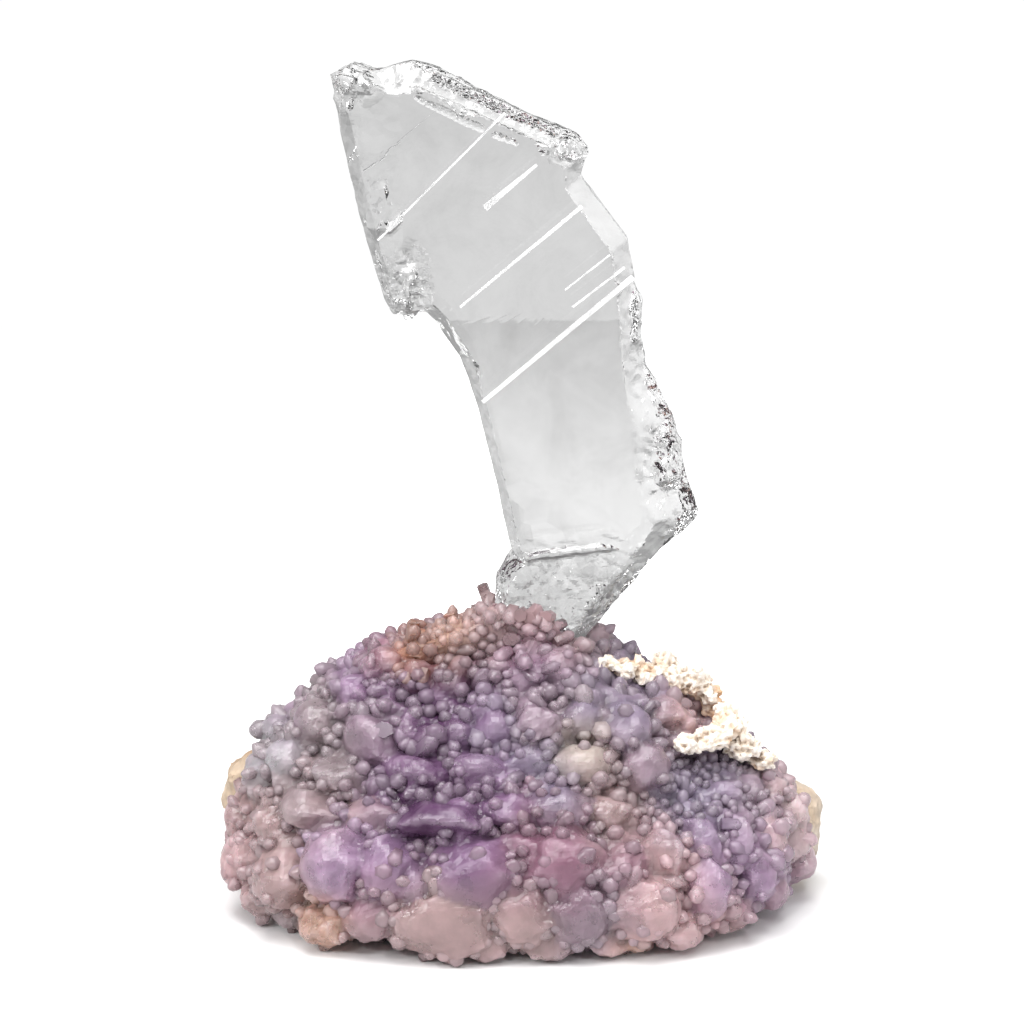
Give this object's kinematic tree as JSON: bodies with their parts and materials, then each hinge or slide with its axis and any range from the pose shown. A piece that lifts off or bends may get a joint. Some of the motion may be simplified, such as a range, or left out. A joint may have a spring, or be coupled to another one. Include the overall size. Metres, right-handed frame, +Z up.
{
  "type": "calcite with amethyst cluster",
  "caption": "Water-clear leaning calcite blade standing on a broad mound of grown-together amethyst crystals with chalky crusts and host rock.",
  "frame": {"origin": "middle of the flat underside of the host rock", "axes": "+Z up, along the longest extent from the rock to the calcite's broken tip; the pictured side faces -Y and +X is to the right in the picture"},
  "size_m": [0.0744, 0.05, 0.1014],
  "materials": {
    "calcite": "clear, polished by nature, with crackled edges",
    "amethyst": "cloudy lilac crystal with sparkling faces",
    "host_rock": "dull broken rock",
    "chalk": "dry chalky crust"
  },
  "bodies": {
    "root": {"calcite_blade": "calcite", "amethyst_cluster": "amethyst", "host_rock": "host_rock", "white_crust_upper": "chalk", "white_crust_lower": "chalk"}
  },
  "joints": []
}
